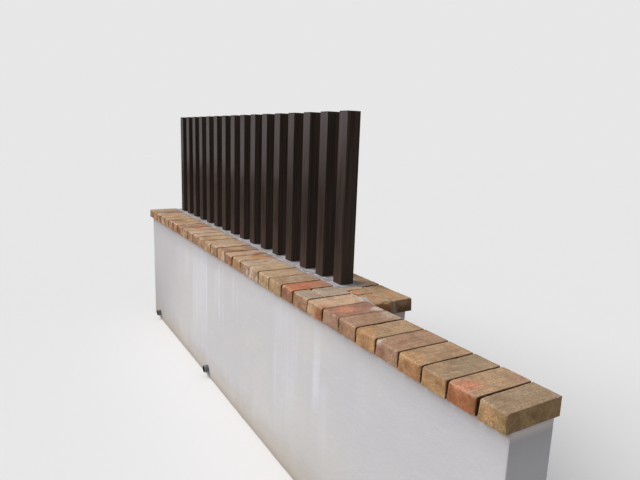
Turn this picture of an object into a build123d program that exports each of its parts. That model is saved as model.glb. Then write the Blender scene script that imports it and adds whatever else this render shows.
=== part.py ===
"""Slatted garden fence: square hollow posts planted in a row along a rendered wall.

The wall is a straight block wall under a course of header bricks laid across
its top. Along most of its length a footing strip stands against its back, and
one coat of render wraps the two. The posts are planted in pockets in that
strip, bedded in mortar that is struck off level with the bricks, and a row of
stretcher bricks edges the mortar on the garden side.

Millimetres. X runs along the wall towards its near end, Y from the rendered
front towards the garden, Z up. The origin is on the ground, in the middle of
the overall length and depth.
"""
from build123d import *
import os

# Fence posts: square aluminium tubes, all alike and evenly spaced
post_count = 16
post_side = 70.0
post_gap = 100.0
post_wall = 2.0
post_corner_radius = 2.5
fence_height = 800.0
planting_depth = 180.0

# Push-in cap on each post
cap_thickness = 5.0
cap_edge_bevel = 1.0
cap_skirt_depth = 14.0
cap_skirt_wall = 2.0
cap_clearance = 0.3

# Block wall, footing strip and the render coat round both
coping_length = 3926.0
wall_height = 880.0
render_thickness = 15.0

# Brick courses on top of the wall
brick_length = 230.0
brick_thickness = 60.0
brick_arris = 5.0
coping_front_overhang = 20.0
coping_back_overhang = 30.0
coping_end_overhang = 20.0
edging_brick_width = 110.0
edging_overhang = 20.0

# Mortar bed round the posts and the cut bricks that close its near end
post_end_margin = 93.0
infill_length = 296.0
mortar_end_margin = 12.0
mortar_strip_front = 20.0
mortar_strip_back = 10.0
mortar_recess = 3.0
pocket_margin = 15.0
mortar_clearance = 0.3

# Weep pipes through the foot of the wall
weep_count = 2
weep_outer_diameter = 48.0
weep_bore_diameter = 40.0
weep_first = 185.0
weep_spacing = 1275.0
weep_height = 55.0
weep_projection = 28.0
weep_clearance = 0.3

# Places along the wall, measured from the far end of the brick coping
wall_start = coping_end_overhang
wall_end = coping_length
post_pitch = post_side + post_gap
first_post = wall_start + post_end_margin + post_side / 2
last_post = first_post + (post_count - 1) * post_pitch
mortar_end = last_post + post_side / 2 + mortar_end_margin
infill_end = last_post + post_side / 2 + infill_length
plinth_end = infill_end - edging_overhang

# Places across the wall, measured from the front face of the render
coping_front = -coping_front_overhang
coping_back = coping_front + brick_length
wall_back = coping_back - coping_back_overhang
post_front = coping_back + mortar_strip_front
edging_front = post_front + post_side + mortar_strip_back
edging_back = edging_front + edging_brick_width
plinth_back = edging_back - edging_overhang
front_limit = -max(coping_front_overhang, weep_projection)

# Faces of the masonry under the render
core_start = wall_start + render_thickness
core_end = wall_end - render_thickness
core_front = render_thickness
core_back = wall_back - render_thickness
footing_end = plinth_end - render_thickness
footing_back = plinth_back - render_thickness

# Heights above the ground
coping_top = wall_height + brick_thickness
mortar_top = coping_top - mortar_recess
fence_top = mortar_top + fence_height
pocket_floor = mortar_top - planting_depth

# From these places to the frame of the finished part
to_origin = Pos(-coping_length / 2, -(front_limit + edging_back) / 2, 0)


def block(x_from, x_to, y_from, y_to, z_from, z_to):
    """A rectangular mass between two corners."""
    size = Box(x_to - x_from, y_to - y_from, z_to - z_from, align=(Align.MIN,) * 3)
    return Pos(x_from, y_from, z_from) * size


def square(margin):
    """A sharp square outline that is larger than a post by a margin all round."""
    side = post_side + 2 * margin
    return Rectangle(side, side)


def post_outline():
    """The outer outline of a post, with its rolled corners."""
    return RectangleRounded(post_side, post_side, post_corner_radius)


def post_places():
    """The centre of each post, in plan."""
    y = post_front + post_side / 2
    return [(first_post + i * post_pitch, y) for i in range(post_count)]


def weep_places():
    """How far along the wall each weep pipe lies."""
    return [wall_start + weep_first + i * weep_spacing for i in range(weep_count)]


def weep_rod(x, diameter, y_from, y_to):
    """A level round rod across the wall on a weep pipe's axis."""
    rod = extrude(Circle(diameter / 2), y_to - y_from)
    return Pos(x, y_from, weep_height) * Rot(-90, 0, 0) * rod


def drill_weeps(mass, y_from, y_to):
    """The mass with a hole for each weep pipe between two depths."""
    hole_diameter = weep_outer_diameter + 2 * weep_clearance
    for x in weep_places():
        mass -= weep_rod(x, hole_diameter, y_from, y_to)
    return mass


def wear_top_arris(course, y):
    """The course with its top edge along the wall at depth y worn round."""
    top_edges = course.edges().filter_by(Axis.X).group_by(Axis.Z)[-1]
    worn = top_edges.sort_by_distance(Vector(coping_length / 2, y, coping_top))[0]
    return fillet(worn, brick_arris)


def wall_core():
    """The block wall itself, from the ground to the underside of the coping."""
    core = block(core_start, core_end, core_front, core_back, 0, wall_height)
    return drill_weeps(core, core_front, core_back)


def post_footing():
    """Footing strip behind the wall, with a square pocket for each post."""
    strip = block(core_start, footing_end, core_back, footing_back, 0, wall_height)
    pocket = extrude(square(pocket_margin), wall_height - pocket_floor)
    for x, y in post_places():
        strip -= Pos(x, y, pocket_floor) * pocket
    return drill_weeps(strip, core_back, footing_back)


def render_coat():
    """One coat of render round the wall and the footing strip behind it."""
    coat = block(wall_start, wall_end, 0, wall_back, 0, wall_height)
    coat += block(wall_start, plinth_end, 0, plinth_back, 0, wall_height)
    coat -= block(core_start, core_end, core_front, core_back, 0, wall_height)
    coat -= block(core_start, footing_end, core_front, footing_back, 0, wall_height)
    return drill_weeps(coat, 0, plinth_back)


def mortar_bed():
    """Mortar strip round the posts' feet, with a collar down each pocket."""
    bed = block(wall_start, mortar_end, coping_back, edging_front, wall_height, mortar_top)
    collar = extrude(square(pocket_margin - mortar_clearance), wall_height - pocket_floor)
    shaft = extrude(square(mortar_clearance), planting_depth)
    for x, y in post_places():
        bed += Pos(x, y, pocket_floor) * collar
        bed -= Pos(x, y, pocket_floor) * shaft
    return bed


def coping_course():
    """Header bricks across the top of the wall, as one mass."""
    course = block(0, coping_length, coping_front, coping_back, wall_height, coping_top)
    return wear_top_arris(course, coping_front)


def edging_course():
    """Stretcher bricks along the garden side of the posts, as one mass."""
    course = block(wall_start, infill_end, edging_front, edging_back, wall_height, coping_top)
    return wear_top_arris(course, edging_back)


def infill_bricks():
    """Cut bricks that close the near end of the mortar strip."""
    return block(mortar_end, infill_end, coping_back, edging_front, wall_height, coping_top)


def post():
    """A hollow square post, standing on the floor of its pocket."""
    height = fence_top - cap_thickness - pocket_floor
    return extrude(post_outline() - square(-post_wall), height)


def post_cap():
    """A flat cap with a skirt that pushes into the post."""
    plate = extrude(post_outline(), cap_thickness)
    plate = chamfer(plate.faces().sort_by(Axis.Z)[-1].edges(), cap_edge_bevel)
    skirt_outer = -(post_wall + cap_clearance)
    skirt = square(skirt_outer) - square(skirt_outer - cap_skirt_wall)
    return plate + extrude(skirt, -cap_skirt_depth)


def weep_pipe(x):
    """A drain pipe from the back of the footing out through the render."""
    outer = weep_rod(x, weep_outer_diameter, -weep_projection, plinth_back)
    return outer - weep_rod(x, weep_bore_diameter, -weep_projection, plinth_back)


def make_pieces():
    """Every piece by name, in place on the wall."""
    pieces = {
        "wall_core": wall_core(),
        "post_footing": post_footing(),
        "render_coat": render_coat(),
        "mortar_bed": mortar_bed(),
        "coping_course": coping_course(),
        "edging_course": edging_course(),
        "infill_bricks": infill_bricks(),
    }
    one_post = post()
    one_cap = post_cap()
    for number, (x, y) in enumerate(post_places(), start=1):
        pieces[f"post_{number:02d}"] = Pos(x, y, pocket_floor) * one_post
        pieces[f"post_cap_{number:02d}"] = Pos(x, y, fence_top - cap_thickness) * one_cap
    for number, x in enumerate(weep_places(), start=1):
        pieces[f"weep_pipe_{number}"] = weep_pipe(x)
    return pieces


os.makedirs("parts", exist_ok=True)
for name, piece in make_pieces().items():
    export_step(to_origin * piece, f"parts/{name}.step")
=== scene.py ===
"""Looks of the slatted garden fence: hollow brown posts planted along a rendered
wall under a course of worn header bricks.

Metres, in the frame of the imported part: X along the wall towards its near end,
Y from the rendered front towards the garden, Z up from the ground.
"""

import math
import random
from collections import namedtuple

import bmesh
import bpy
import numpy as np
from mathutils import Matrix, Vector, noise


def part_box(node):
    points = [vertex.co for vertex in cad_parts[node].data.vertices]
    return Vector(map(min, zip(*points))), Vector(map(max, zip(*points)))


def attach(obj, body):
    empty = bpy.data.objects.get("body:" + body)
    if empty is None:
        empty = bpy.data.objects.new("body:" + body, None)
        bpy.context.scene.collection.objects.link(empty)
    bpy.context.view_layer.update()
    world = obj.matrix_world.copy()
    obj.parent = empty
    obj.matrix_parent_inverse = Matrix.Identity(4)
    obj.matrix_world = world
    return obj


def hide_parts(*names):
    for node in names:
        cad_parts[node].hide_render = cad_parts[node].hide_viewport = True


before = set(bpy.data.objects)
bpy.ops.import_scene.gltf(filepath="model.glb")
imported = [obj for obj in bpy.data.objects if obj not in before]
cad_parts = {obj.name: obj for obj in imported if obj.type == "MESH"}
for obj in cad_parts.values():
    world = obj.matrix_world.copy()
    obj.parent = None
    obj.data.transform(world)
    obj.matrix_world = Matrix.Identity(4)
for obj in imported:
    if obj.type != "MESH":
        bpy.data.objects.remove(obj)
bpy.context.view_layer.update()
MM = 0.001
coping_low, coping_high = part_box("coping_course")
bed_low, bed_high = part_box("mortar_bed")
edging_low, edging_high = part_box("edging_course")
infill_low, infill_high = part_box("infill_bricks")
render_low, render_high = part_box("render_coat")
PIPE_NAMES = ("weep_pipe_1", "weep_pipe_2")
POST_NAMES = sorted(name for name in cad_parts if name[:5] == "post_" and name[5:].isdigit())
pipe_axes, post_centres = [], []
# The pipes are alike, and so are the posts, so the last of each gives the size
for name in PIPE_NAMES:
    low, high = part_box(name)
    pipe_axes.append(((low.x + high.x) / 2, (low.z + high.z) / 2))
PIPE_RADIUS = (high.z - low.z) / 2
for name in POST_NAMES:
    low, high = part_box(name)
    post_centres.append(((low.x + high.x) / 2, (low.y + high.y) / 2))
POST_HALF = (high.x - low.x) / 2

# Where the photograph was taken from
EYE = (2.7929, -1.2788, 1.6250)
YAW = 0.5326
PITCH = 0.1935
ROLL = 0.0333
LENS = 30.01


def linear(red, green, blue):
    """A display colour from 0 to 255 as scene-linear RGBA."""
    parts = []
    for value in (red, green, blue):
        v = value / 255
        parts.append(v / 12.92 if v <= 0.04045 else ((v + 0.055) / 1.055) ** 2.4)
    return (*parts, 1.0)


# Node materials

def add_node(tree, kind, sources, output=0, **settings):
    """One output of a new node, whose inputs are other outputs or plain values."""
    made = tree.nodes.new(kind)
    for key, value in settings.items():
        setattr(made, key, value)
    for key, value in sources.items():
        if isinstance(value, bpy.types.NodeSocket):
            tree.links.new(value, made.inputs[key])
        else:
            made.inputs[key].default_value = value
    return made.outputs[output]


class Recipe:
    """A node material that is put together step by step, with its colour so far."""

    def __init__(self, name, **constants):
        self.material = bpy.data.materials.new(name)
        self.material.use_nodes = True
        self.tree = self.material.node_tree
        self.shader = self.tree.nodes["Principled BSDF"]
        for socket, value in constants.items():
            self.shader.inputs[socket.replace("_", " ")].default_value = value

    def node(self, kind, sources, output=0, **settings):
        return add_node(self.tree, kind, sources, output, **settings)

    def place(self):
        return self.node("ShaderNodeTexCoord", {}, "Object")

    def attribute(self, name, output="Fac"):
        return self.node("ShaderNodeAttribute", {}, output, attribute_name=name)

    def part(self, vector, axis):
        return self.node("ShaderNodeSeparateXYZ", {0: vector}, axis)

    def normal_part(self, axis):
        return self.part(self.node("ShaderNodeNewGeometry", {}, "Normal"), axis)

    def moved(self, vector, by):
        return self.node("ShaderNodeVectorMath", {0: vector, 1: by}, operation="ADD")

    def scaled(self, vector, factors):
        return self.node("ShaderNodeVectorMath", {0: vector, 1: factors}, operation="MULTIPLY")

    def noise(self, place, scale, detail=3, rough=0.6, warp=0.0):
        sources = {"Vector": place, "Scale": scale, "Detail": detail}
        sources.update({"Roughness": rough, "Distortion": warp})
        return self.node("ShaderNodeTexNoise", sources)

    def cells(self, place, scale):
        return self.node("ShaderNodeTexVoronoi", {"Vector": place, "Scale": scale}, "Distance")

    def span(self, value, low, high, to_low=0.0, to_high=1.0):
        sources = {0: value, 1: low, 2: high, 3: to_low, 4: to_high}
        return self.node("ShaderNodeMapRange", sources, interpolation_type="SMOOTHSTEP")

    def plus(self, a, b):
        return self.node("ShaderNodeMath", {0: a, 1: b}, operation="ADD")

    def minus(self, a, b):
        return self.node("ShaderNodeMath", {0: a, 1: b}, operation="SUBTRACT")

    def times(self, a, b):
        return self.node("ShaderNodeMath", {0: a, 1: b}, operation="MULTIPLY")

    def mix(self, share, a, b, blend="MIX"):
        sources = {0: share, 6: a, 7: b}
        return self.node("ShaderNodeMix", sources, 2, data_type="RGBA", blend_type=blend)

    def two_tone(self, ragged, low, high):
        """Starts with two display colours in patches that follow a noise."""
        self.colour = self.mix(self.span(ragged, 0.35, 0.65), linear(*low), linear(*high))

    def tint(self, share, *tone):
        """Lays a share of a display colour over the colour so far."""
        self.colour = self.mix(share, self.colour, linear(*tone))

    def shade(self, factor):
        """Makes the colour so far darker or lighter."""
        grey = self.node("ShaderNodeCombineXYZ", {0: factor, 1: factor, 2: factor})
        self.colour = self.mix(1.0, self.colour, grey, "MULTIPLY")

    def off_axis(self, place, x, z):
        """Distance from a level line that runs across the wall."""
        away = self.scaled(self.moved(place, (-x, 0.0, -z)), (1, 0, 1))
        return self.node("ShaderNodeVectorMath", {0: away}, "Value", operation="LENGTH")

    def finish(self, roughness, *relief):
        """Takes roughness as (noise, low, high) and relief as (height, millimetres)."""
        grain, low, high = roughness
        rough = self.span(grain, 0.3, 0.7, low, high)
        below = {}
        for height, depth in relief:
            normal = self.node("ShaderNodeBump", {"Height": height, "Distance": depth * MM, **below})
            below = {"Normal": normal}
        for source, socket in ((self.colour, "Base Color"), (rough, "Roughness"), (normal, "Normal")):
            self.tree.links.new(source, self.shader.inputs[socket])
        return self.material


def brick_material():
    """Old clay brick: dust-dulled and combed lengthwise on top, pitted and stronger in
    colour on its sides, pale where it is worn. Its top and side tones hold painted
    light over its own colour: a painted sky sheen on top, painted shade on the
    sides. Painted shade darkens the flanks inside the joints, and near the mortar
    strip a grey mortar smear darkened into painted shade; the near end of the
    edging carries soil and painted shade."""
    r = Recipe("worn_brick", Specular_IOR_Level=0.25)
    place = r.moved(r.place(), r.attribute("shift", "Vector"))
    broad = r.noise(place, 15, 3, 0.6, 0.4)
    middle = r.noise(place, 52, 4, 0.62, 0.6)
    fine = r.noise(place, 230, 4, 0.65)
    grains = r.noise(place, 760, 2, 0.5)
    combed = r.noise(r.attribute("comb", "Vector"), 1.0)
    pits = r.cells(place, 140)
    # Painted light: each brick's top and side tone are mixed by which way the surface faces, so the
    # tops carry a painted sky sheen and the sides painted shade over the brick's own colour
    facing_up = r.plus(r.normal_part("Z"), r.times(middle, 0.5))
    upward = r.span(facing_up, 0.5, 1.0)
    r.colour = r.mix(upward, r.attribute("side_tone", "Color"), r.attribute("top_tone", "Color"))
    mark = r.attribute("mark")
    for ragged, weight in ((middle, 0.45), (broad, 0.45), (combed, 0.50)):
        mark = r.plus(mark, r.times(ragged, weight))
    mark = r.span(mark, 0.78, 1.20)
    r.colour = r.mix(mark, r.colour, r.attribute("mark_tone", "Color"))
    burnt = r.times(r.span(broad, 0.56, 0.28), r.span(upward, 0, 1, 0.40, 0.24))
    r.tint(burnt, 136, 92, 62)
    blotch = r.plus(r.times(middle, 0.5), r.times(broad, 0.5))
    swing = r.minus(r.span(blotch, 0.34, 0.66), 0.5)
    swing = r.times(swing, r.span(upward, 0, 1, 0.52, 0.32))
    # Painted shade: the sides come out about 4% darker than the tops, besides the random swing
    r.shade(r.plus(swing, r.span(upward, 0, 1, 0.955, 1.0)))
    comb_mark = r.times(r.minus(r.span(combed, 0.3, 0.7), 0.5), upward)
    r.shade(r.plus(r.times(comb_mark, 0.28), 1.0))
    pale = r.plus(r.attribute("wear"), r.times(fine, 0.7))
    r.tint(r.span(pale, 0.75, 1.25, 0.0, 0.46), 214, 192, 162)
    r.tint(r.span(fine, 0.62, 0.42, 0.0, 0.34), 100, 72, 52)
    pit_depth = r.times(r.span(pits, 0.30, 0.12), r.span(broad, 0.42, 0.58))
    r.tint(r.times(pit_depth, 0.55), 70, 50, 38)
    r.tint(r.span(grains, 0.60, 0.72, 0.0, 0.35), 226, 206, 176)
    r.tint(r.span(grains, 0.40, 0.28, 0.0, 0.45), 70, 52, 42)
    # A grey mortar smear on the bricks' backs beside the strip, darkened into painted shade from the
    # posts
    haze = r.times(r.attribute("haze"), r.span(middle, 0.30, 0.62, 0.15, 1.5))
    r.tint(r.span(haze, 0.05, 0.75, 0.0, 0.78), 138, 135, 137)
    # Painted shade inside the joints, and soil with painted shade on the edging's near end, laid on
    # in dark brown
    grime = r.times(r.attribute("grime"), r.span(fine, 0.25, 0.6, 1.0, 0.82))
    r.tint(r.times(grime, 0.92), 64, 47, 31)
    sunk = r.times(pit_depth, -1.0)
    relief = ((middle, 2.0), (combed, 0.5), (sunk, 1.2), (fine, 1.1), (grains, 0.35))
    return r.finish((fine, 0.80, 0.96), *relief)


def joint_material(name, low, high, sand):
    """Raked joint between bricks, with sand grains."""
    r = Recipe(name, Specular_IOR_Level=0.2)
    place = r.place()
    broad = r.noise(place, 35)
    fine = r.noise(place, 420)
    r.two_tone(broad, low, high)
    r.tint(r.span(fine, 0.5, 0.75, 0.0, 0.4), *sand)
    return r.finish((fine, 0.88, 0.98), (fine, 1.5))


def mortar_material(name, low, high):
    """Pale struck mortar, sandy, with a few darker, moist patches."""
    r = Recipe(name, Specular_IOR_Level=0.3)
    place = r.place()
    broad = r.noise(place, 18)
    middle = r.noise(place, 90)
    fine = r.noise(place, 520)
    r.two_tone(broad, low, high)
    r.tint(r.span(middle, 0.62, 0.42, 0.0, 0.30), 128, 120, 116)
    r.tint(r.span(fine, 0.56, 0.36, 0.0, 0.45), 112, 106, 102)
    return r.finish((middle, 0.82, 0.94), (middle, 1.5), (fine, 0.8))


def render_material():
    """Trowelled off-white render: streaked from the coping down, dusty at the foot.
    Painted shade lies under the coping, along the far end and low at the far end,
    and brick dust with a painted warm bounce of light just under the coping.
    """
    r = Recipe("trowelled_render", Specular_IOR_Level=0.3)
    place = r.place()
    along, height = r.part(place, "X"), r.part(place, "Z")
    cloud = r.noise(place, 2.2, 3, 0.55, 0.3)
    broad = r.noise(place, 7, 4, 0.6)
    streak = r.noise(r.scaled(place, (22, 22, 0.7)), 1.0, 3, 0.55)
    fine_streak = r.noise(r.scaled(place, (75, 75, 1.6)), 1.0, 2, 0.5)
    trowel = r.noise(r.scaled(place, (9, 9, 26)), 1.0, 3, 0.55, 0.8)
    fine = r.noise(place, 160, 4, 0.6)
    grain = r.noise(place, 900, 2, 0.5)
    r.two_tone(cloud, (210, 207, 209), (214, 211, 209))
    r.tint(r.span(broad, 0.35, 0.7, 0.0, 0.35), 206, 205, 210)
    r.tint(r.span(streak, 0.52, 0.74, 0.0, 0.12), 200, 197, 201)
    bloom = r.times(r.attribute("bloom"), r.span(fine_streak, 0.36, 0.56, 0.42, 1.0))
    bloom = r.times(bloom, r.span(broad, 0.30, 0.56, 0.5, 1.0))
    r.tint(bloom, 234, 233, 240)
    # Painted shade: the wall greyer and darker towards its far end
    far_end = r.plus(along, r.times(cloud, 0.5))
    r.tint(r.span(far_end, -0.4, -1.4, 0.0, 0.46), 182, 177, 180)
    r.tint(r.span(along, 0.95, 1.6, 0.0, 0.5), 199, 199, 204)
    low_end = r.times(r.span(along, 0.3, 1.0), r.span(height, 0.42, 0.10))
    r.tint(r.times(low_end, 0.4), 182, 180, 170)
    # Painted shade low down at the far end, darkest near the foot
    far_foot_shade = r.times(r.span(along, -1.2, -2.0), r.span(height, 0.62, 0.12))
    r.tint(r.times(far_foot_shade, 0.40), 142, 138, 138)
    for x, z in pipe_axes:
        ring = r.plus(r.off_axis(place, x, z), r.times(fine, -0.012))
        r.tint(r.span(ring, 0.034, 0.022, 0.0, 0.75), 222, 220, 222)
    # Painted shade under the coping's overhang
    coping_shade = r.plus(height, r.times(fine, 0.05))
    r.tint(r.span(coping_shade, 0.79, 0.90, 0.0, 0.24), 160, 153, 153)
    # Painted shade: a wider band of it under the coping towards both ends, most at the far end
    under = r.span(along, 0.6, 1.3, 0.0, 0.5)
    under = r.plus(under, r.span(along, 0.5, -0.5))
    under = r.times(under, r.span(coping_shade, 0.74, 0.88))
    r.tint(r.times(under, 0.30), 158, 154, 160)
    # Just under the coping: brick dust and a painted warm bounce of light from the bricks, warm at
    # the far end and pale at the near end
    dust_and_bounce = r.plus(height, r.times(fine, 0.02))
    nearer = r.span(along, 0.7, 1.3)
    dust_and_bounce_tone = r.mix(nearer, linear(220, 170, 130), linear(240, 226, 216))
    r.colour = r.mix(r.span(dust_and_bounce, 0.856, 0.884, 0.0, 0.60), r.colour, dust_and_bounce_tone)
    reach = r.plus(height, r.times(broad, -0.22))
    dust = r.span(reach, 0.10, -0.11, 0.0, 0.42)
    r.tint(dust, 178, 159, 132)
    foot_tint = r.span(r.plus(height, r.times(fine, -0.12)), 0.0, -0.06, 0.0, 0.32)
    r.tint(foot_tint, 146, 124, 98)
    r.tint(r.span(fine, 0.60, 0.40, 0.0, 0.10), 170, 166, 168)
    return r.finish((fine, 0.74, 0.90), (trowel, 1.1), (fine, 0.5), (grain, 0.15))


def paint_material(name, low, high, roughness, sheen_share):
    """Satin brown paint on drawn aluminium with a faint upright grain, with a painted
    sky sheen on the front faces, dust and a painted reflection of the bricks low on
    the fronts, and painted light on the end faces.
    """
    r = Recipe(name, Specular_IOR_Level=0.02)
    place = r.place()
    grain = r.noise(r.scaled(place, (150, 150, 2.2)), 1.0)
    hair = r.noise(r.scaled(place, (620, 620, 6.0)), 1.0, 2, 0.5)
    cloud = r.noise(place, 6)
    fine = r.noise(place, 700, 2, 0.5)
    r.two_tone(grain, low, high)
    # Painted sheen: a grey film on the front faces standing for the sky reflected in the satin paint,
    # brightest high up; on the far posts it peaks lower down
    height = r.plus(r.part(place, "Z"), r.times(cloud, 0.25))
    outward = r.span(r.times(r.normal_part("Y"), -1.0), 0.3, 0.9)
    farther = r.span(r.part(place, "X"), 0.6, -0.9)
    near_sheen = r.span(height, 1.42, 1.92)
    far_sheen = r.times(r.span(height, 1.38, 1.60), r.span(height, 1.76, 1.94, 1.04, 0.74))
    sheen = r.plus(near_sheen, r.times(r.minus(far_sheen, near_sheen), farther))
    sheen = r.times(r.times(sheen, sheen_share), outward)
    r.tint(sheen, 112, 106, 108)
    # Dust low on the front faces, lighter brown, which is partly a painted reflection of the bricks
    # below
    foot_tint = r.times(outward, r.span(height, 1.30, 1.02, 0.0, 0.17))
    r.tint(foot_tint, 128, 108, 96)
    # Painted light: the faces towards the near end lightened, more so low down
    end_face_light = r.span(r.normal_part("X"), 0.3, 0.9)
    end_face_light = r.times(end_face_light, r.span(height, 1.62, 1.12, 0.08, 0.17))
    r.tint(end_face_light, 120, 112, 102)
    r.tint(r.span(fine, 0.60, 0.75, 0.0, 0.12), 120, 108, 100)
    return r.finish((cloud, *roughness), (grain, 0.25), (hair, 0.12))


def pipe_material(name, axis_x, axis_z):
    """Grey plastic pipe, darkened inside the bore by painted shade."""
    r = Recipe(name, Specular_IOR_Level=0.4)
    place = r.place()
    radius = r.off_axis(place, axis_x, axis_z)
    cloud = r.noise(place, 40)
    fine = r.noise(place, 480)
    r.two_tone(cloud, (96, 104, 110), (116, 124, 129))
    r.tint(r.span(fine, 0.55, 0.75, 0.0, 0.4), 84, 80, 74)
    # Painted shade inside the bore
    inside = r.span(radius, 21.5 * MM, 20.5 * MM)
    r.tint(inside, 34, 30, 28)
    return r.finish((fine, 0.5, 0.7), (fine, 0.2))


def concrete_material():
    """Rough cast concrete with pores and pale fines."""
    r = Recipe("rough_concrete", Specular_IOR_Level=0.3)
    place = r.place()
    broad = r.noise(place, 9, 4, 0.6)
    fine = r.noise(place, 260)
    pores = r.cells(place, 130)
    r.two_tone(broad, (150, 147, 142), (172, 169, 163))
    r.tint(r.span(pores, 0.18, 0.08, 0.0, 0.6), 96, 92, 88)
    return r.finish((fine, 0.85, 0.96), (fine, 1.2))


# Mesh helpers

def lumps(points, scale, seed, squeeze=(1, 1, 1)):
    """Smooth noise between about -1 and 1 at each point; scale is per metre."""
    shift = Vector((seed * 7.31, seed * 3.77, seed * 5.13))
    stretch = np.array(squeeze) * scale
    return np.array([noise.noise(Vector(p * stretch) + shift) for p in points])


def smooth(value, low, high):
    """Smooth step from 0 at low to 1 at high."""
    t = np.clip((value - low) / (high - low), 0, 1)
    return t * t * (3 - 2 * t)


def side_places(length, near_edge, step):
    """Grid places from 0 to length, closer together near both ends."""
    near_edge = np.array(near_edge) * MM
    inner = length - 2 * near_edge[-1]
    count = max(1, round(inner / step))
    middle = near_edge[-1] + inner * np.arange(1, count) / count
    return np.concatenate([near_edge, middle, (length - near_edge)[::-1]])


def grid_quads(number):
    """Quads over a grid of point numbers."""
    quads = [number[:-1, :-1], number[1:, :-1], number[1:, 1:], number[:-1, 1:]]
    return np.stack(quads, axis=-1).reshape(-1, 4)


def box_lattice(xs, ys, zs):
    """Points and outward quads of a box whose faces are gridded at these places."""
    shell = np.ones((len(xs), len(ys), len(zs)), bool)
    shell[1:-1, 1:-1, 1:-1] = False
    number = np.full(shell.shape, -1)
    number[shell] = np.arange(shell.sum())
    i, j, k = np.nonzero(shell)
    points = np.stack([xs[i], ys[j], zs[k]], axis=1)
    sheets = (
        number[:, :, -1], number[:, :, 0].T, number[-1], number[0].T,
        number[:, -1].T, number[:, 0],
    )
    return points, np.concatenate([grid_quads(sheet) for sheet in sheets])


def rounded(points, size, radius):
    """Box points with every edge rounded by a radius that may vary by point."""
    half = np.array(size) / 2
    centred = points - half
    radius = np.broadcast_to(np.asarray(radius, float), (len(points),))[:, None]
    inner = np.clip(centred, -half + radius, half - radius)
    out = centred - inner
    length = np.linalg.norm(out, axis=1)
    length[length == 0] = 1
    normal = out / length[:, None]
    return inner + normal * radius + half, normal


# The kind of a point's value and the field that holds it, by how many numbers it has
FIELDS = {1: ("FLOAT", "value"), 3: ("FLOAT_VECTOR", "vector"), 4: ("FLOAT_COLOR", "color")}


def add_object(name, data):
    """A new object in the scene."""
    made = bpy.data.objects.new(name, data)
    bpy.context.scene.collection.objects.link(made)
    return made


def add_mesh(name, points, faces, material, attributes=None):
    """A new mesh object in the scene, with named values on its points."""
    mesh = bpy.data.meshes.new(name)
    mesh.from_pydata([tuple(p) for p in points], [], [tuple(map(int, f)) for f in faces])
    mesh.polygons.foreach_set("use_smooth", [True] * len(mesh.polygons))
    for key, values in (attributes or {}).items():
        values = np.asarray(values, np.float32).reshape(len(points), -1)
        kind, field = FIELDS[values.shape[1]]
        mesh.attributes.new(key, kind, "POINT").data.foreach_set(field, values.ravel())
    mesh.materials.append(material)
    mesh.update()
    return add_object(name, mesh)


def joined(forms):
    """Points and faces of several closed forms as those of one mesh."""
    starts = np.cumsum([0] + [len(points) for points, _ in forms])
    faces = [faces + start for (_, faces), start in zip(forms, starts)]
    return np.concatenate([points for points, _ in forms]), np.concatenate(faces)


# Brick tones
DISPLAY_TONES = {
    "dust": (172, 148, 120),
    "tan": (190, 158, 124),
    "sand": (208, 178, 144),
    "straw": (204, 168, 126),
    "peach": (214, 180, 150),
    "buff": (216, 188, 163),
    "ochre": (198, 154, 108),
    "orange": (198, 144, 96),
    "rust": (174, 108, 68),
    "coral": (204, 128, 96),
    "salmon": (208, 142, 112),
    "rose": (178, 142, 116),
    "mauve": (166, 124, 106),
    "brown": (176, 136, 106),
    "umber": (164, 114, 88),
    "olive": (172, 142, 100),
    "pale": (216, 196, 178),
    "grey": (188, 168, 148),
}
TONES = {name: linear(*tone) for name, tone in DISPLAY_TONES.items()}

# One brick: opposite corners, its top and side tone (which differ partly by painted
# light, a sky sheen on top and shade on the sides), its marks as (tone, along x,
# along y, up, reach, strength), and the number that its chips and blotches come from
Brick = namedtuple("Brick", "low high tones spots seed")

# How a course lies: the axis along its bricks, the axis and end of the side that
# is worn most, and the size of the grid on each face
Lay = namedtuple("Lay", "long_axis worn_axis worn_end step")


def from_worn_side(points, size, lay):
    """How far behind the most worn side of its brick each point lies."""
    place = points[:, lay.worn_axis]
    return size[lay.worn_axis] - place if lay.worn_end else place


def above_foot(points, size):
    """From 0 on the underside of a brick to 1 over most of its height."""
    return smooth(points[:, 2], 0.12 * size[2], 0.45 * size[2])


def arris_radius(points, size, lay, seed):
    """Radius of the edges near each point: crisp, but worn round at the side that shows."""
    chance = random.Random(seed + 900)
    back = from_worn_side(points, size, lay)
    top_edge = smooth(back, 24 * MM, 0) * smooth(points[:, 2], 0.35 * size[2], size[2])
    radius = chance.uniform(1.8, 2.6) * (1 + 0.4 * lumps(points, 30, seed + 0.3))
    upper = above_foot(points, size)
    radius = radius * (0.6 + 0.4 * upper)
    radius += smooth(back, 14 * MM, 0) * upper * (2.6 + 1.6 * lumps(points, 35, seed + 1.1))
    radius += top_edge * (2.6 + 2.8 * lumps(points, 45, seed + 1.9)).clip(0.3)
    return (radius * MM).clip(1.0 * MM, 9.8 * MM)


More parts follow.
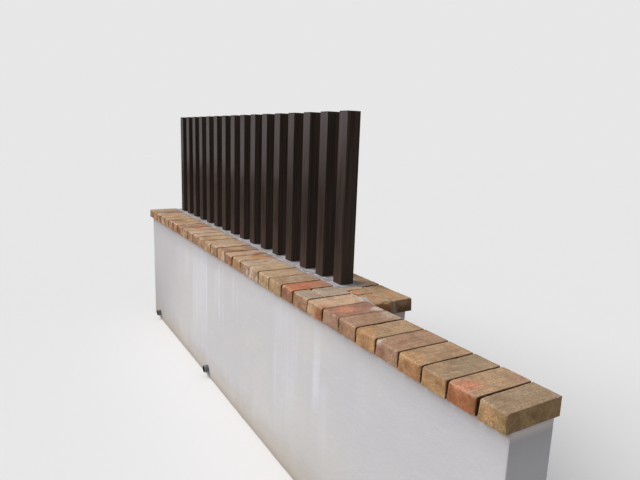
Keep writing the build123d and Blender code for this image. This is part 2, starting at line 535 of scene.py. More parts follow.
def chips(points, size, lay, seed):
    """Bites out of the edges and corners: how far each point moves, and how fresh it is."""
    chance = random.Random(seed)
    half = size / 2
    move = np.zeros_like(points)
    fresh = np.zeros(len(points))
    for _ in range(chance.randint(12, 18)):
        spot = np.array([chance.uniform(0, length) for length in size])
        if chance.random() < 0.5:
            spot[2] = size[2]
            spot[lay.worn_axis] = size[lay.worn_axis] * lay.worn_end
        else:
            for axis in chance.sample(range(3), chance.choice((2, 2, 3))):
                spot[axis] = size[axis] * chance.choice((0, 1))
        reach = chance.uniform(4, 15) * MM
        depth = chance.uniform(0.12, 0.26) * reach
        away = np.linalg.norm(points - spot, axis=1)
        near = away < 2 * reach
        away[near] *= 1 + 0.4 * lumps(points[near], 130, seed + 9.1)
        bite = np.clip(1 - (away / reach) ** 2, 0, 1)
        inward = (half - spot) / np.linalg.norm(half - spot)
        move += inward * (bite * depth)[:, None]
        fresh = np.maximum(fresh, bite * 0.85)
    return move, fresh


def shape_brick(brick, lay):
    """Points, faces and wear of one old brick."""
    low = np.array(brick.low)
    size = np.array(brick.high) - low
    seed = brick.seed
    edge_places = (0, 0.9, 2.2, 4.0, 6.6, 10.0)
    lattice = [side_places(length, edge_places, lay.step) for length in size]
    points, faces = box_lattice(*lattice)
    points, normal = rounded(points, size, arris_radius(points, size, lay, seed))
    half = size / 2
    corner_gap = np.sort(half - np.abs(points - half), axis=1)
    edge_gap = np.hypot(corner_gap[:, 0], corner_gap[:, 1])
    near_worn = smooth(from_worn_side(points, size, lay), 30 * MM, 0)
    wear = np.exp(-edge_gap / (3.5 * MM)) * (0.5 + 0.6 * lumps(points, 40, seed + 7.7))
    wear *= 0.65 + 0.7 * near_worn
    move, fresh = chips(points, size, lay, seed)
    points += move
    stretch = [110.0] * 3
    stretch[lay.long_axis] = 12.0
    crumble = lumps(points, 150, seed + 3.1).clip(0) * np.exp(-edge_gap / (5 * MM))
    relief = 0.8 * lumps(points, 13, seed + 2.7) + 0.4 * lumps(points, 60, seed + 5.2)
    relief += 0.25 * lumps(points, 1.0, seed + 6.6, stretch) - (0.5 + near_worn) * crumble
    points += normal * ((relief - 0.6) * MM)[:, None]
    foot = near_worn * (1 - above_foot(points, size))
    points[:, 2] += 2.2 * MM * lumps(points, 24, seed + 8.4) * foot
    return points + low, faces, np.maximum(wear, fresh)


def strip_smear_and_shade(points):
    """How strongly the mortar strip has smeared a brick at each point, and how much painted shade
    from the posts lies there.
    """
    x, y = points[:, 0], points[:, 1]
    away = np.maximum(bed_low.y - y, y - bed_high.y).clip(0)
    beside = smooth(x, bed_high.x + 60 * MM, bed_high.x)
    return np.exp(-away / (25 * MM)) * beside


def joint_shade(points, low, high, lay, ends):
    """Painted shade on the flanks inside the joints, but not on the ends of the course."""
    size, local = high - low, points - low
    to_flank = np.minimum(np.abs(local[:, 0]), np.abs(size[0] - local[:, 0]))
    to_end = np.min([np.abs(points[:, 0] - end) for end in ends], axis=0)
    depth = np.minimum(size[2] - local[:, 2], from_worn_side(local, size, lay))
    inside = smooth(depth, 1.5 * MM, 5.5 * MM) * smooth(to_flank, 4.5 * MM, 2.5 * MM)
    return inside * smooth(to_end, 3 * MM, 6 * MM)


def soil_and_end_shade(points):
    """Soil left on the garden side and near end of the edging, up from its foot; on the near end it
    is partly painted shade.
    """
    height = (points[:, 2] - edging_low.z) / (edging_high.z - edging_low.z)
    at_end = smooth(points[:, 0], edging_high.x - 8 * MM, edging_high.x - 2 * MM)
    at_end *= points[:, 1] > coping_high.y
    from_seam = (points[:, 1] - edging_low.y - 10 * MM) / (16 * MM)
    at_end *= 1 - 0.5 * np.exp(-from_seam * from_seam)
    at_back = smooth(points[:, 1], edging_high.y - 8 * MM, edging_high.y - 2 * MM)
    reach = 0.72 + 0.35 * lumps(points, 24, 17.0)
    return 0.85 * np.maximum(at_end, 0.5 * at_back) * smooth(height, reach + 0.15, reach - 0.5)


def lay_bricks(name, bricks, lay, node):
    """One piece of a course's bricks, each a little out of line, with its own tones."""
    forms, values = [], []
    ends = (min(brick.low[0] for brick in bricks), max(brick.high[0] for brick in bricks))
    stretch = [150.0] * 3
    stretch[lay.long_axis] = 11.0
    for brick in bricks:
        low, high = np.array(brick.low), np.array(brick.high)
        points, faces, wear = shape_brick(brick, lay)
        chance = random.Random(brick.seed + 500)
        level = (points - low) / (high - low)
        amount = np.zeros(len(points))
        mark_tone = np.tile(TONES[brick.tones[0]], (len(points), 1))
        for tone, along, across, up, reach, strength in brick.spots:
            away = (level - (along, across, up)) * (1.0, 1.6, 0.6)
            away = np.linalg.norm(away, axis=1) / reach
            here = strength * np.exp(-away * away)
            mark_tone[here > amount] = TONES[tone]
            amount = np.maximum(amount, here)
        shift = np.array([chance.uniform(-40, 40) for _ in range(3)])
        pivot = (low + high) / 2
        turn = Matrix.Rotation(math.radians(chance.uniform(-0.3, 0.3)), 3, "Z")
        tip = Matrix.Rotation(math.radians(chance.uniform(-0.35, 0.35)), 3, "Y")
        # Painted shade in the joints, and soil with painted shade on the edging
        grime = np.maximum(joint_shade(points, low, high, lay, ends), soil_and_end_shade(points))
        points = (points - pivot) @ np.array(turn @ tip).T + pivot
        forms.append((points, faces))
        value = {
            "wear": wear, "mark": amount, "haze": strip_smear_and_shade(points), "grime": grime,
            "shift": np.tile(shift, (len(points), 1)), "comb": points * stretch + shift,
            "mark_tone": mark_tone,
        }
        at_far_end = smooth(pivot[0], -1.25, -1.7)
        # The top and side tones, partly the brick's colour and partly painted light
        for key, tone, dulled in zip(("top_tone", "side_tone"), brick.tones, (0.10, 0.24)):
            drift = chance.uniform(0.95, 1.05) * (1 - dulled * at_far_end)
            colour = [c * drift for c in TONES[tone][:3]] + [1.0]
            value[key] = np.tile(colour, (len(points), 1))
        values.append(value)
    attributes = {key: np.concatenate([value[key] for value in values]) for key in values[0]}
    dress(add_mesh(name, *joined(forms), BRICK, attributes), "brick", node)


def lay_joints(name, boxes, material, seed, node):
    """One piece of rough mortar fillings, one for each box given as (low, high)."""
    forms = []
    for low, high in boxes:
        low = np.array(low)
        size = np.array(high) - low
        places = [side_places(length, (0, 1.5), 8 * MM) for length in size]
        points, faces = box_lattice(*places)
        points, normal = rounded(points, size, 1.2 * MM)
        points = points + low
        rough = lumps(points, 70, seed) + 0.6 * lumps(points, 190, seed + 3.3)
        points += normal * (rough * 1.6 * MM)[:, None] * (0.0, 1.0, 1.0)
        forms.append((points, faces))
    dress(add_mesh(name, *joined(forms), material), "mortar", node)


def height_field(name, xs, ys, kept, top, bottom, material):
    """A closed slab over the kept cells of a grid, with a modelled upper surface."""
    gx, gy = np.meshgrid(xs, ys, indexing="ij")
    flat = np.stack([gx.ravel(), gy.ravel()], axis=1)
    count = len(flat)
    upper = np.column_stack([flat, top(flat[:, 0], flat[:, 1])])
    lower = np.column_stack([flat, np.full(count, bottom)])
    number = np.arange(count).reshape(gx.shape)
    middles = [(places[:-1] + places[1:]) / 2 for places in (xs, ys)]
    keep = kept(*np.meshgrid(*middles, indexing="ij"))
    quads = grid_quads(number)[keep.ravel()]
    faces = [quads, quads[:, ::-1] + count]
    sides = {}
    for quad in quads:
        for a, b in zip(quad, np.roll(quad, -1)):
            if sides.pop((b, a), None) is None:
                sides[(a, b)] = True
    walls = [(b, a, a + count, b + count) for a, b in sides]
    used, faces = np.unique(np.concatenate([*faces, walls]), return_inverse=True)
    points = np.concatenate([upper, lower])[used]
    return add_mesh(name, points, faces.reshape(-1, 4), material)


def dress(piece, slot, *nodes):
    """Puts a new piece on the part's one body, in the place of CAD nodes."""
    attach(piece, "root")
    if nodes:
        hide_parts(*nodes)


BRICK = brick_material()
JOINT = joint_material("raked_joint", (48, 36, 23), (70, 54, 35), (100, 80, 54))
SOILED = joint_material("soiled_joint", (138, 124, 104), (160, 146, 124), (182, 168, 146))
MORTAR = mortar_material("pale_mortar", (150, 146, 148), (202, 200, 204))
PATCH = mortar_material("dry_mortar", (182, 178, 172), (206, 202, 196))
RENDER = render_material()

# Where joints and the smaller bricks stand, just clear of the wall's top
FOOT = coping_low.z + 0.5 * MM

# Coping: header bricks from the near end, set out from the joints that show
SEEN_JOINTS = (
    1.860, 1.743, 1.631, 1.514, 1.388, 1.267, 1.148,
    1.024, 0.897, 0.762, 0.647, 0.511, 0.383, 0.262,
)
FAR_BRICKS = 18
# Seeds of how the bricks lie, how the far ones look and how the coping is bedded
LAYING_SEED, LOOKS_SEED, BEDDING_SEED = 11, 23, 57
# Seed of the first brick of each course
COPING_SEED, EDGING_SEED, CUT_SEED = 100, 300, 400

far_pitch = (SEEN_JOINTS[-1] - coping_low.x) / FAR_BRICKS
chance = random.Random(LAYING_SEED)
joints = list(SEEN_JOINTS)
for i in range(1, FAR_BRICKS):
    joints.append(SEEN_JOINTS[-1] - far_pitch * i + chance.uniform(-5, 5) * MM)

# The bricks whose looks are plain to see, from the near end
NEAR_LOOKS = [
    (("dust", "olive"), [("ochre", 0.4, 0.0, 0.4, 0.3, 0.4)]),
    # Orange face, and a coral patch at the front of a dusty top
    (("tan", "rust"), [("salmon", 0.4, 0.16, 1, 0.34, 0.6), ("rose", 0.8, 0.9, 1, 0.4, 0.4)]),
    (("dust", "ochre"), [("tan", 0.3, 0.2, 1, 0.5, 0.4)]),
    (("tan", "orange"), [("ochre", 0.3, 0.1, 0.8, 0.5, 0.4)]),
    # Pinkish top with a pale broken corner
    (("rose", "rose"), [("pale", 0.1, 0.0, 1, 0.17, 0.75), ("umber", 0.2, 0.0, 0.2, 0.35, 0.4)]),
    (("tan", "ochre"), [("orange", 0.3, 0.0, 0.9, 0.6, 0.35)]),
    # Grey at its back end
    (("rose", "brown"), [("grey", 0.4, 1.0, 1, 0.45, 0.6), ("orange", 0.5, 0.0, 0.3, 0.3, 0.3)]),
    # Pink with a coral patch at the front and a pale back corner
    (("mauve", "rose"), [("salmon", 0.4, 0.35, 1, 0.40, 0.5), ("pale", 0.8, 0.97, 1, 0.28, 0.8)]),
    # Rust on the near edge of a pale front
    (("peach", "straw"), [("rust", 0.95, 0.0, 0.4, 0.42, 0.7)]),
    (("grey", "brown"), []),
    # The coral brick
    (("coral", "umber"), [("rose", 0.8, 0.7, 1, 0.5, 0.4), ("pale", 0.1, 0.0, 1, 0.15, 0.4)]),
    (("tan", "straw"), [("grey", 0.4, 0.6, 1, 0.5, 0.4)]),
    (("sand", "straw"), [("tan", 0.3, 0.7, 1, 0.4, 0.4)]),
    (("sand", "peach"), [("pale", 0.5, 0.0, 0.4, 0.6, 0.3)]),
]
SPLIT_BRICK = 9
SPLIT_AT = -0.127

# The rest draw their tones from these
FAR_TOPS = ("sand", "peach", "buff", "sand", "peach", "rose")
FAR_SIDES = ("brown", "ochre", "straw", "umber", "rose", "ochre")
FAR_MARKS = ("ochre", "pale", "orange", "salmon", "rose", "grey", "straw", "umber")


def stray_marks(draws):
    """Marks of other tones at random places on a brick's top and front."""
    marks = []
    for _ in range(4):
        up = draws.choice((1, 1, 0.2))
        across = draws.random() if up == 1 else 0
        place = (draws.random(), across, up)
        tone, reach = draws.choice(FAR_MARKS), draws.uniform(0.15, 0.4)
        marks.append((tone, *place, reach, draws.uniform(0.45, 0.8)))
    return marks


def far_looks(draws):
    """Tones and marks for each far brick, with the tones evenly dealt from the lists."""
    decks = []
    for tones in (FAR_TOPS, FAR_SIDES):
        deck = []
        while len(deck) < FAR_BRICKS:
            deck += draws.sample(tones, len(tones))
        decks.append(deck[:FAR_BRICKS])
    return [(tones, stray_marks(draws)) for tones in zip(*decks)]


draws = random.Random(LOOKS_SEED)
looks = NEAR_LOOKS + far_looks(draws)
looks[-1] = (("sand", "olive"), [])

# How far the courses stop short of the CAD's ends
END_INSET = 2.0 * MM
# Joints farther than this are wider by this share
WIDER_FROM, WIDER = 0.8, 1.35
# How far a joint's filling reaches into the bricks beside it
TUCK = 1.8 * MM
half_gaps = [draws.uniform(2.5, 3.4) * MM * (1.0 if x > WIDER_FROM else WIDER) for x in joints]
near_edges = [coping_high.x - END_INSET, *(x - gap for x, gap in zip(joints, half_gaps))]
far_edges = [*(x + gap for x, gap in zip(joints, half_gaps)), coping_low.x + END_INSET]
bricks, fillings = [], []
bedding = random.Random(BEDDING_SEED)
for index, (x1, x0, (tones, spots)) in enumerate(zip(near_edges, far_edges, looks)):
    y0 = coping_low.y + chance.uniform(-1.5, 1.5) * MM
    y1 = coping_high.y - chance.uniform(2.0, 7.0) * MM
    z0 = coping_low.z + bedding.uniform(-2.2, 0.6) * MM
    z1 = coping_high.z + chance.uniform(-1.2, 1.0) * MM
    seed = COPING_SEED + index
    if index == SPLIT_BRICK:
        front, back = SPLIT_AT - 3 * MM, SPLIT_AT + 2 * MM
        bricks.append(Brick((x0, y0, z0), (x1, front, z1), tones, spots, seed))
        bricks.append(Brick((x0, back, z0), (x1, y1, z1), ("grey", "brown"), spots, seed + 60))
        low = (x0 + 2 * MM, front - 3 * MM, z0)
        fillings.append((low, (x1 - 2 * MM, back + 3 * MM, z1 - 8 * MM)))
    else:
        bricks.append(Brick((x0, y0, z0), (x1, y1, z1), tones, spots, seed))
for x, gap in zip(joints, half_gaps):
    reach = gap + TUCK
    recess = chance.uniform(9, 12) * MM
    low = (x - reach, coping_low.y + recess + 8 * MM, FOOT)
    fillings.append((low, (x + reach, coping_high.y - 4 * MM, coping_high.z - recess)))
# The split brick counts as two
near_count = len(NEAR_LOOKS) + 1
near_lay, far_lay = Lay(1, 1, 0, 6.5 * MM), Lay(1, 1, 0, 12 * MM)
lay_bricks("coping_bricks", bricks[:near_count], near_lay, "coping_course")
lay_bricks("far_coping_bricks", bricks[near_count:], far_lay, "coping_course")
lay_joints("coping_joints", fillings, JOINT, 3.0, "coping_course")

# Edging: stretchers along the garden side, and the cut bricks at the near end
STRETCHER = 230 * MM
EDGING_JOINT = 9 * MM
EDGING_LOOKS = [
    (("tan", "brown"), [("orange", 0.6, 0.4, 1, 0.45, 0.35), ("grey", 1.0, 0.0, 0.2, 0.32, 0.8)]),
    (("sand", "orange"), [("grey", 0.95, 0.1, 1, 0.3, 0.7), ("ochre", 0.4, 0.6, 1, 0.4, 0.4)]),
    (("peach", "tan"), [("ochre", 0.3, 0.5, 1, 0.4, 0.4), ("rose", 0.85, 0.7, 1, 0.25, 0.5)]),
    (("mauve", "brown"), [("coral", 0.3, 0.5, 1, 0.4, 0.4)]),
    (("sand", "ochre"), [("tan", 0.7, 0.5, 1, 0.4, 0.4)]),
    (("tan", "brown"), [("orange", 0.3, 0.5, 1, 0.4, 0.4), ("rust", 0.85, 0.7, 1, 0.25, 0.5)]),
]
stretchers, edging_fillings = [], []
near = edging_high.x - END_INSET
while near > edging_low.x + 20 * MM:
    count = len(stretchers)
    far = max(near - STRETCHER, edging_low.x + END_INSET)
    tones, spots = EDGING_LOOKS[count % len(EDGING_LOOKS)]
    low = (far, edging_low.y + 1.5 * MM, FOOT)
    y1 = edging_high.y - chance.uniform(2.0, 4.5) * MM
    z1 = edging_high.z + chance.uniform(-1, 1) * MM
    stretchers.append(Brick(low, (near, y1, z1), tones, spots, EDGING_SEED + count))
    if far > edging_low.x + END_INSET:
        low = (far - EDGING_JOINT - TUCK, edging_low.y + 5 * MM, FOOT)
        high = (far + TUCK, edging_high.y - 12 * MM, edging_high.z - 8 * MM)
        edging_fillings.append((low, high))
    near = far - EDGING_JOINT
stretcher_lay = Lay(0, 1, 1, 10 * MM)
lay_bricks("edging_bricks", stretchers, stretcher_lay, "edging_course")
lay_joints("edging_joints", edging_fillings, JOINT, 7.0, "edging_course")

CUT_JOINTS = (0.8525, 0.9285)
CUT_HALF_GAP = 4.5 * MM
CUT_LOOKS = [
    (("sand", "ochre"), [("straw", 0.2, 0.5, 1, 0.5, 0.4)]),
    (("tan", "orange"), [("salmon", 0.4, 0.2, 1, 0.45, 0.6), ("orange", 0.6, 0.8, 1, 0.4, 0.4)]),
    (("tan", "orange"), [("orange", 0.4, 0.4, 1, 0.6, 0.4)]),
]
cut_near = [*(x - CUT_HALF_GAP for x in CUT_JOINTS), infill_high.x - END_INSET]
cut_far = [infill_low.x + 4 * MM, *(x + CUT_HALF_GAP for x in CUT_JOINTS)]
cut_bricks = []
for index, (x0, x1, (tones, spots)) in enumerate(zip(cut_far, cut_near, CUT_LOOKS)):
    low = (x0, infill_low.y + 8 * MM, FOOT)
    high = (x1, infill_high.y - 3 * MM, infill_high.z - chance.uniform(0.2, 1.5) * MM)
    cut_bricks.append(Brick(low, high, tones, spots, CUT_SEED + index))
cut_lay = Lay(1, 0, 1, 6.5 * MM)
lay_bricks("cut_bricks", cut_bricks, cut_lay, "infill_bricks")

# Mortar struck off round the posts, smeared over the ends of the bricks
POST_GAP = 0.4 * MM


def mortar_columns(start, end):
    """Grid places along the strip that meet the sides of every post."""
    near_post = np.array([POST_GAP, 2.5 * MM, 6 * MM, 11 * MM]) + POST_HALF
    places = []
    for x, _ in post_centres:
        places += [*(x - near_post), *(x + near_post)]
    places = sorted(p for p in places if start < p < end)
    filled = [start]
    for place in [*places, end]:
        gap = place - filled[-1]
        steps = max(1, round(gap / (9 * MM)))
        filled += [filled[-1] + gap * i / steps for i in range(1, steps + 1)]
    return np.array(filled)


def mortar_rows():
    """Grid places across the strip, from over the coping to over the edging."""
    row = post_centres[0][1]
    front, back = row - POST_HALF - POST_GAP, row + POST_HALF + POST_GAP
    start, end = coping_high.y - 30 * MM, edging_low.y + 14 * MM
    rows = [start]
    for low, high, steps in ((start, front, 15), (front, back, 8), (back, end, 8)):
        rows += [low + (high - low) * i / steps for i in range(1, steps + 1)]
    return np.array(rows)


def off_posts(x, y):
    """True where no post stands."""
    kept = np.ones(x.shape, bool)
    for px, py in post_centres:
        kept &= ~((np.abs(x - px) < POST_HALF) & (np.abs(y - py) < POST_HALF))
    return kept


def in_plan(x, y):
    """Points at these places in plan, and their partners on one line along the wall."""
    none = np.zeros_like(x)
    return np.column_stack([x, y, none]), np.column_stack([x, none, none])


def mortar_top(x, y):
    """Height of the mortar's surface, which thins out over the bricks."""
    points, line = in_plan(x, y)
    z = bed_high.z + 1.5 * MM
    z = z + (0.9 * lumps(points, 22, 4.0) + 0.45 * lumps(points, 95, 5.0)) * MM
    wander = lumps(line, 11, 6.0) + 0.7 * lumps(line, 38, 7.0)
    front_edge = coping_high.y - (9 + 9 * wander) * MM
    z += 3.2 * MM * smooth(y, coping_high.y + 8 * MM, coping_high.y - 2 * MM)
    z -= 9 * MM * smooth(y, front_edge + 1 * MM, front_edge - 5 * MM)
    back_edge = edging_low.y + (5 + 5 * lumps(line, 13, 8.0)) * MM
    z += 2.4 * MM * smooth(y, edging_low.y - 4 * MM, edging_low.y + 2 * MM)
    z -= 8 * MM * smooth(y, back_edge - 1 * MM, back_edge + 4 * MM)
    for px, py in post_centres:
        away = np.maximum(np.abs(x - px), np.abs(y - py)) - POST_HALF
        z += 2.2 * MM * np.exp(-np.clip(away, 0, 1) / (3 * MM))
    return z


strip = height_field(
    "mortar_strip", mortar_columns(bed_low.x + 1 * MM, bed_high.x + 3 * MM), mortar_rows(),
    off_posts, mortar_top, bed_high.z - 12 * MM, MORTAR,
)
dress(strip, "mortar")
# Where a blob of mortar stands up beside the near cut brick
BLOB_PLACE = 0.985


def patch_top(x, y):
    """Height of the mortar pressed between the coping and the cut bricks."""
    points, line = in_plan(x, y)
    half = (6.5 + 3.5 * lumps(line, 30, 2.0)) * MM
    half = half + 9 * MM * np.exp(-((x - BLOB_PLACE) / (26 * MM)) ** 2)
    z = infill_high.z - 5 * MM + lumps(points, 60, 3.0) * MM
    z += 7.5 * MM * np.exp(-((x - BLOB_PLACE) / (30 * MM)) ** 2)
    z += 2.0 * MM * smooth(x, infill_low.x + 60 * MM, infill_low.x)
    return z - 9 * MM * smooth(np.abs(y - infill_low.y - 1 * MM), half, half + 4 * MM)


patch = height_field(
    "mortar_patch",
    np.linspace(infill_low.x + 4 * MM, infill_high.x - 6 * MM, 70),
    np.linspace(infill_low.y - 26 * MM, infill_low.y + 26 * MM, 22),
    lambda x, y: np.ones(x.shape, bool), patch_top, infill_low.z + 20 * MM, PATCH,
)
dress(patch, "mortar", "infill_bricks")
seams = []
for x in CUT_JOINTS:
    reach = CUT_HALF_GAP + TUCK
    low = (x - reach, infill_low.y + 10 * MM, FOOT)
    seams.append((low, (x + reach, infill_high.y - 6 * MM, infill_high.z - 5 * MM)))
lay_joints("cut_brick_joints", seams, JOINT, 9.0, "infill_bricks")
low = (infill_low.x + 4 * MM, infill_high.y - 6.5 * MM, FOOT)
high = (infill_high.x - 4 * MM, infill_high.y + 4.5 * MM, infill_high.z - 2.5 * MM)
lay_joints("long_seam", [(low, high)], SOILED, 11.0, "infill_bricks")


# Render coat, trowelled round the wall and the plinth behind it
EDGING_OVERHANG = 20 * MM
COPING_OVERHANG = 30 * MM
PLINTH_END = edging_high.x - EDGING_OVERHANG
WALL_BACK = coping_high.y - COPING_OVERHANG
COAT = 15 * MM
ARRIS = 6 * MM
# Whatever has a smaller y than this is on the rendered front
FRONT_SIDE = -0.1
SAME_POINT = 1e-6
# Pale runs of lime down the front: place, half width, upper and lower end, strength
BLOOMS = [
    (-1.12, 0.090, 0.84, 0.52, 0.22), (-0.93, 0.060, 0.83, 0.56, 0.30),
    (-0.645, 0.155, 0.88, 0.08, 0.46), (-0.790, 0.016, 0.66, 0.14, 0.50),
    (-0.700, 0.014, 0.80, 0.40, 0.35), (-0.590, 0.020, 0.88, 0.46, 0.55),
    (-0.505, 0.018, 0.88, 0.20, 0.75), (-0.310, 0.030, 0.80, 0.48, 0.35),
    (-0.255, 0.018, 0.84, 0.42, 0.80), (-0.190, 0.013, 0.84, 0.38, 0.55),
    (-0.020, 0.012, 0.84, 0.56, 0.50), (0.050, 0.020, 0.80, 0.60, 0.20),
    (0.650, 0.120, 0.84, 0.10, 0.32), (0.555, 0.020, 0.70, 0.20, 0.32),
    (0.605, 0.014, 0.86, 0.34, 0.32), (0.665, 0.035, 0.84, 0.26, 0.42),
    (0.760, 0.028, 0.80, 0.44, 0.30), (0.960, 0.028, 0.84, 0.40, 0.56),
    (1.020, 0.030, 0.60, 0.22, 0.34), (1.300, 0.040, 0.84, 0.50, 0.12),
    (-1.600, 0.050, 0.84, 0.50, 0.20),
]


def coat_corners(inset):
    """The corners of the coat in plan, in order round it, set in by a distance."""
    x0, x1 = render_low.x + inset, render_high.x - inset
    y0, y1 = render_low.y + inset, render_high.y - inset
    step_x, step_y = PLINTH_END - inset, WALL_BACK - inset
    return np.array([(x0, y0), (x1, y0), (x1, step_y), (step_x, step_y), (step_x, y1), (x0, y1)])


def coat_outline():
    """Points round the coat in plan, their inner partners and their normals."""
    corners, partners = coat_corners(0), coat_corners(COAT)
    outer, inner = [], []
    count = len(corners)
    for i in range(count):
        before, here, after = (corners[(i + k) % count] for k in (-1, 0, 1))
        a, b = partners[i], partners[(i + 1) % count]
        came = (here - before) / np.linalg.norm(here - before)
        goes = (after - here) / np.linalg.norm(after - here)
        for t in np.linspace(0, 1, 5):
            start, end = here - came * ARRIS, here + goes * ARRIS
            outer.append((1 - t) ** 2 * start + 2 * t * (1 - t) * here + t * t * end)
            inner.append(a)
        start, end = here + goes * ARRIS, after - goes * ARRIS
        at_front = max(here[1], after[1]) < FRONT_SIDE
        step = (9 if at_front else 14) * MM
        steps = max(2, round(np.linalg.norm(end - start) / step))
        for k in range(1, steps):
            point = start + (end - start) * k / steps
            share = np.clip((point - a) @ (b - a) / ((b - a) @ (b - a)), 0, 1)
            outer.append(point)
            inner.append(a + (b - a) * share)
    outer, inner = np.array(outer), np.array(inner)
    along = np.roll(outer, -1, axis=0) - np.roll(outer, 1, axis=0)
    along /= np.linalg.norm(along, axis=1)[:, None]
    return outer, inner, np.column_stack([along[:, 1], -along[:, 0]])


def render_skin():
    """The coat as one closed shell with a trowelled face and a ragged foot."""
    outer, inner, normal = coat_outline()
    ring = len(outer)
    levels = np.concatenate([[0, 4 * MM, 9 * MM], np.linspace(0.018, render_high.z, 68)])
    rows = len(levels)
    points = np.column_stack([np.repeat(outer, rows, axis=0), np.tile(levels, ring)])
    push = np.repeat(normal, rows, axis=0)
    wave = 0.9 * lumps(points, 3.3, 1.0) + 0.35 * lumps(points, 16, 2.0, (1, 1, 1.8))
    wave += 0.12 * lumps(points, 60, 3.0)
    foot = np.exp(-points[:, 2] / (8 * MM)) * (1.6 + 1.6 * lumps(points, 28, 4.0))
    inward = (1.3 - wave + foot).clip(0.05) * MM
    points[:, :2] -= push * inward[:, None]
    bloom = np.zeros(len(points))
    x, z = points[:, 0], points[:, 2]
    line = points * (1, 0, 0.1)
    jitter = lumps(line, 30, 12.0)
    sway = 0.006 * lumps(points, 9, 14.0)
    for place, half_width, upper, lower, strength in BLOOMS:
        away = np.abs(x + sway - place)
        spread = smooth(away, half_width * 1.25 + 0.004, half_width * 0.65) * (0.85 + 0.4 * jitter)
        fade = smooth(z + 0.05 * jitter, lower, lower + 0.45 * (upper - lower))
        fade *= smooth(z + 0.02 * jitter, upper + 0.02, upper - 0.05)
        bloom = np.maximum(bloom, spread * fade * strength * (points[:, 1] < FRONT_SIDE))
    lower = np.column_stack([inner, np.zeros(ring)])
    upper = np.column_stack([inner, np.full(ring, render_high.z)])
    everything = np.concatenate([points, lower, upper])
    number = np.arange(ring * rows).reshape(ring, rows)
    low = ring * rows + np.arange(ring)
    sheet = np.column_stack([number, low + ring, low, number[:, 0]])
    faces = grid_quads(np.vstack([sheet, sheet[:1]]))
    values = np.concatenate([bloom, np.zeros(2 * ring)])
    made = add_mesh("render_skin", everything, faces, RENDER, {"bloom": values})
    mesh = bmesh.new()
    mesh.from_mesh(made.data)
    bmesh.ops.remove_doubles(mesh, verts=mesh.verts, dist=SAME_POINT)
    bmesh.ops.dissolve_degenerate(mesh, dist=SAME_POINT, edges=mesh.edges)
    mesh.to_mesh(made.data)
    mesh.free()
    return made


skin = render_skin()
HOLE_RADIUS = PIPE_RADIUS + 0.3 * MM
DRILL_LENGTH = 0.6
for x, z in pipe_axes:
    drill = bpy.data.meshes.new("drill")
    mesh = bmesh.new()
    bmesh.ops.create_cone(
        mesh, cap_ends=True, segments=48,
        radius1=HOLE_RADIUS, radius2=HOLE_RADIUS, depth=DRILL_LENGTH,
        matrix=Matrix.Translation((x, 0, z)) @ Matrix.Rotation(math.radians(90), 4, "X"),
    )
    mesh.to_mesh(drill)
    mesh.free()
    tool = add_object("drill", drill)
    cut = skin.modifiers.new("weep_hole", "BOOLEAN")
    cut.operation = "DIFFERENCE"
    cut.solver = "EXACT"
    cut.object = tool
    depsgraph = bpy.context.evaluated_depsgraph_get()
    cut_mesh = bpy.data.meshes.new_from_object(skin.evaluated_get(depsgraph))
    skin.modifiers.clear()
    skin.data = cut_mesh
    bpy.data.objects.remove(tool)
dress(skin, "render_white", "render_coat")


# Better materials for the CAD nodes that stay
def repaint(names, material):
    for name in names:
        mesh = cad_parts[name].data
        mesh.materials.clear()
        mesh.materials.append(material)


# The last number is the strength of the painted sheen
POST_PAINT = paint_material("post_paint", (38, 32, 29), (67, 52, 45), (0.44, 0.54), 0.50)
CAP_PAINT = paint_material("cap_paint", (54, 43, 40), (74, 62, 60), (0.46, 0.58), 0.30)
repaint([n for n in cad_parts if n.startswith("post_cap_")], CAP_PAINT)
repaint(POST_NAMES, POST_PAINT)
repaint(["wall_core", "post_footing"], concrete_material())
repaint(["mortar_bed"], MORTAR)
for name, (x, z) in zip(PIPE_NAMES, pipe_axes):
    repaint([name], pipe_material(name.replace("weep_pipe", "pipe_plastic"), x, z))


# Floor, world, lamps and camera
def shown_directly(tree):
    """A socket that is 1 for camera, glossy and transmission rays."""
    path = tree.nodes.new("ShaderNodeLightPath")
    total = path.outputs["Is Camera Ray"]
    for name in ("Is Glossy Ray", "Is Transmission Ray"):
        sources = {0: total, 1: path.outputs[name]}
        total = add_node(tree, "ShaderNodeMath", sources, operation="MAXIMUM")
    return total


def lit_and_seen(tree, lit, seen):
    """A colour that is one thing as a source of light and another to the camera."""
    sources = {0: shown_directly(tree), 6: lit, 7: seen}
    return add_node(tree, "ShaderNodeMix", sources, 2, data_type="RGBA")


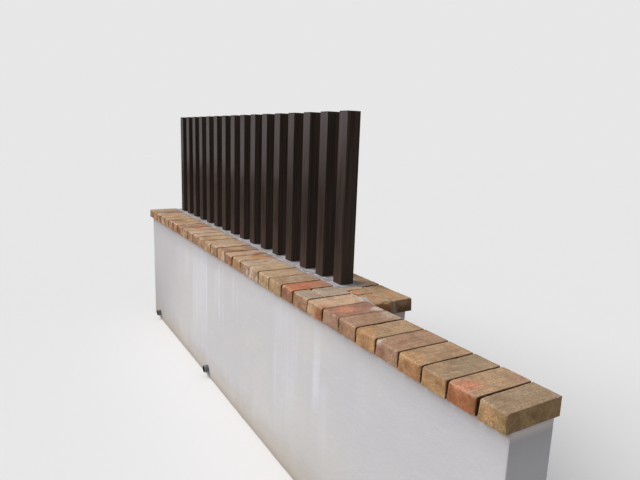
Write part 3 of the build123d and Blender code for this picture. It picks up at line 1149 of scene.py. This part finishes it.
# Greys as they light the part, and as the camera sees them
FLOOR_BOUNCE = (0.40, 0.40, 0.40, 1)
PALE_FLOOR = (0.809, 0.809, 0.809, 1)
SKY_LIGHT = (0.345, 0.35, 0.365, 1)
PALE_SKY = (0.80, 0.80, 0.80, 1)
FLOOR_SIDE = 60
floor_recipe = Recipe("studio_floor", Specular_IOR_Level=0.0, Roughness=1.0)
tone = lit_and_seen(floor_recipe.tree, FLOOR_BOUNCE, PALE_FLOOR)
floor_recipe.tree.links.new(tone, floor_recipe.shader.inputs["Base Color"])
half = FLOOR_SIDE / 2
corners = [(-half, -half, 0), (half, -half, 0), (half, half, 0), (-half, half, 0)]
floor = add_mesh("floor", corners, [(0, 1, 2, 3)], floor_recipe.material)
floor.location.z = -0.5 * MM

world = bpy.data.worlds.new("studio")
bpy.context.scene.world = world
world.use_nodes = True
tree = world.node_tree
tone = lit_and_seen(tree, SKY_LIGHT, PALE_SKY)
tree.links.new(tone, tree.nodes["Background"].inputs["Color"])

# A wide soft sun from above, in front and towards the far end
SUN_STRENGTH = 0.9 * math.pi
SUN_SPREAD = math.radians(40)
SUN_COLOUR = (1.0, 0.985, 0.97)
SUN_HEADING = Vector((0.45, 0.75, -0.9))
lamp = bpy.data.lights.new("key", "SUN")
lamp.energy = SUN_STRENGTH
lamp.angle = SUN_SPREAD
lamp.color = SUN_COLOUR
key = add_object("key", lamp)
key.rotation_mode = "QUATERNION"
key.rotation_quaternion = SUN_HEADING.to_track_quat("-Z", "Y")

level = math.cos(PITCH)
forward = Vector((-math.cos(YAW) * level, math.sin(YAW) * level, -math.sin(PITCH)))
level_right = forward.cross(Vector((0, 0, 1))).normalized()
level_up = level_right.cross(forward)
right = math.cos(ROLL) * level_right + math.sin(ROLL) * level_up
up = -math.sin(ROLL) * level_right + math.cos(ROLL) * level_up
lens = bpy.data.cameras.new("camera")
lens.sensor_width = 36
lens.lens = LENS
camera = add_object("camera", lens)
axes = Matrix((right, up, -forward)).transposed()
camera.matrix_world = Matrix.Translation(EYE) @ axes.to_4x4()
bpy.context.scene.camera = camera

bpy.context.scene.view_settings.view_transform = "Standard"
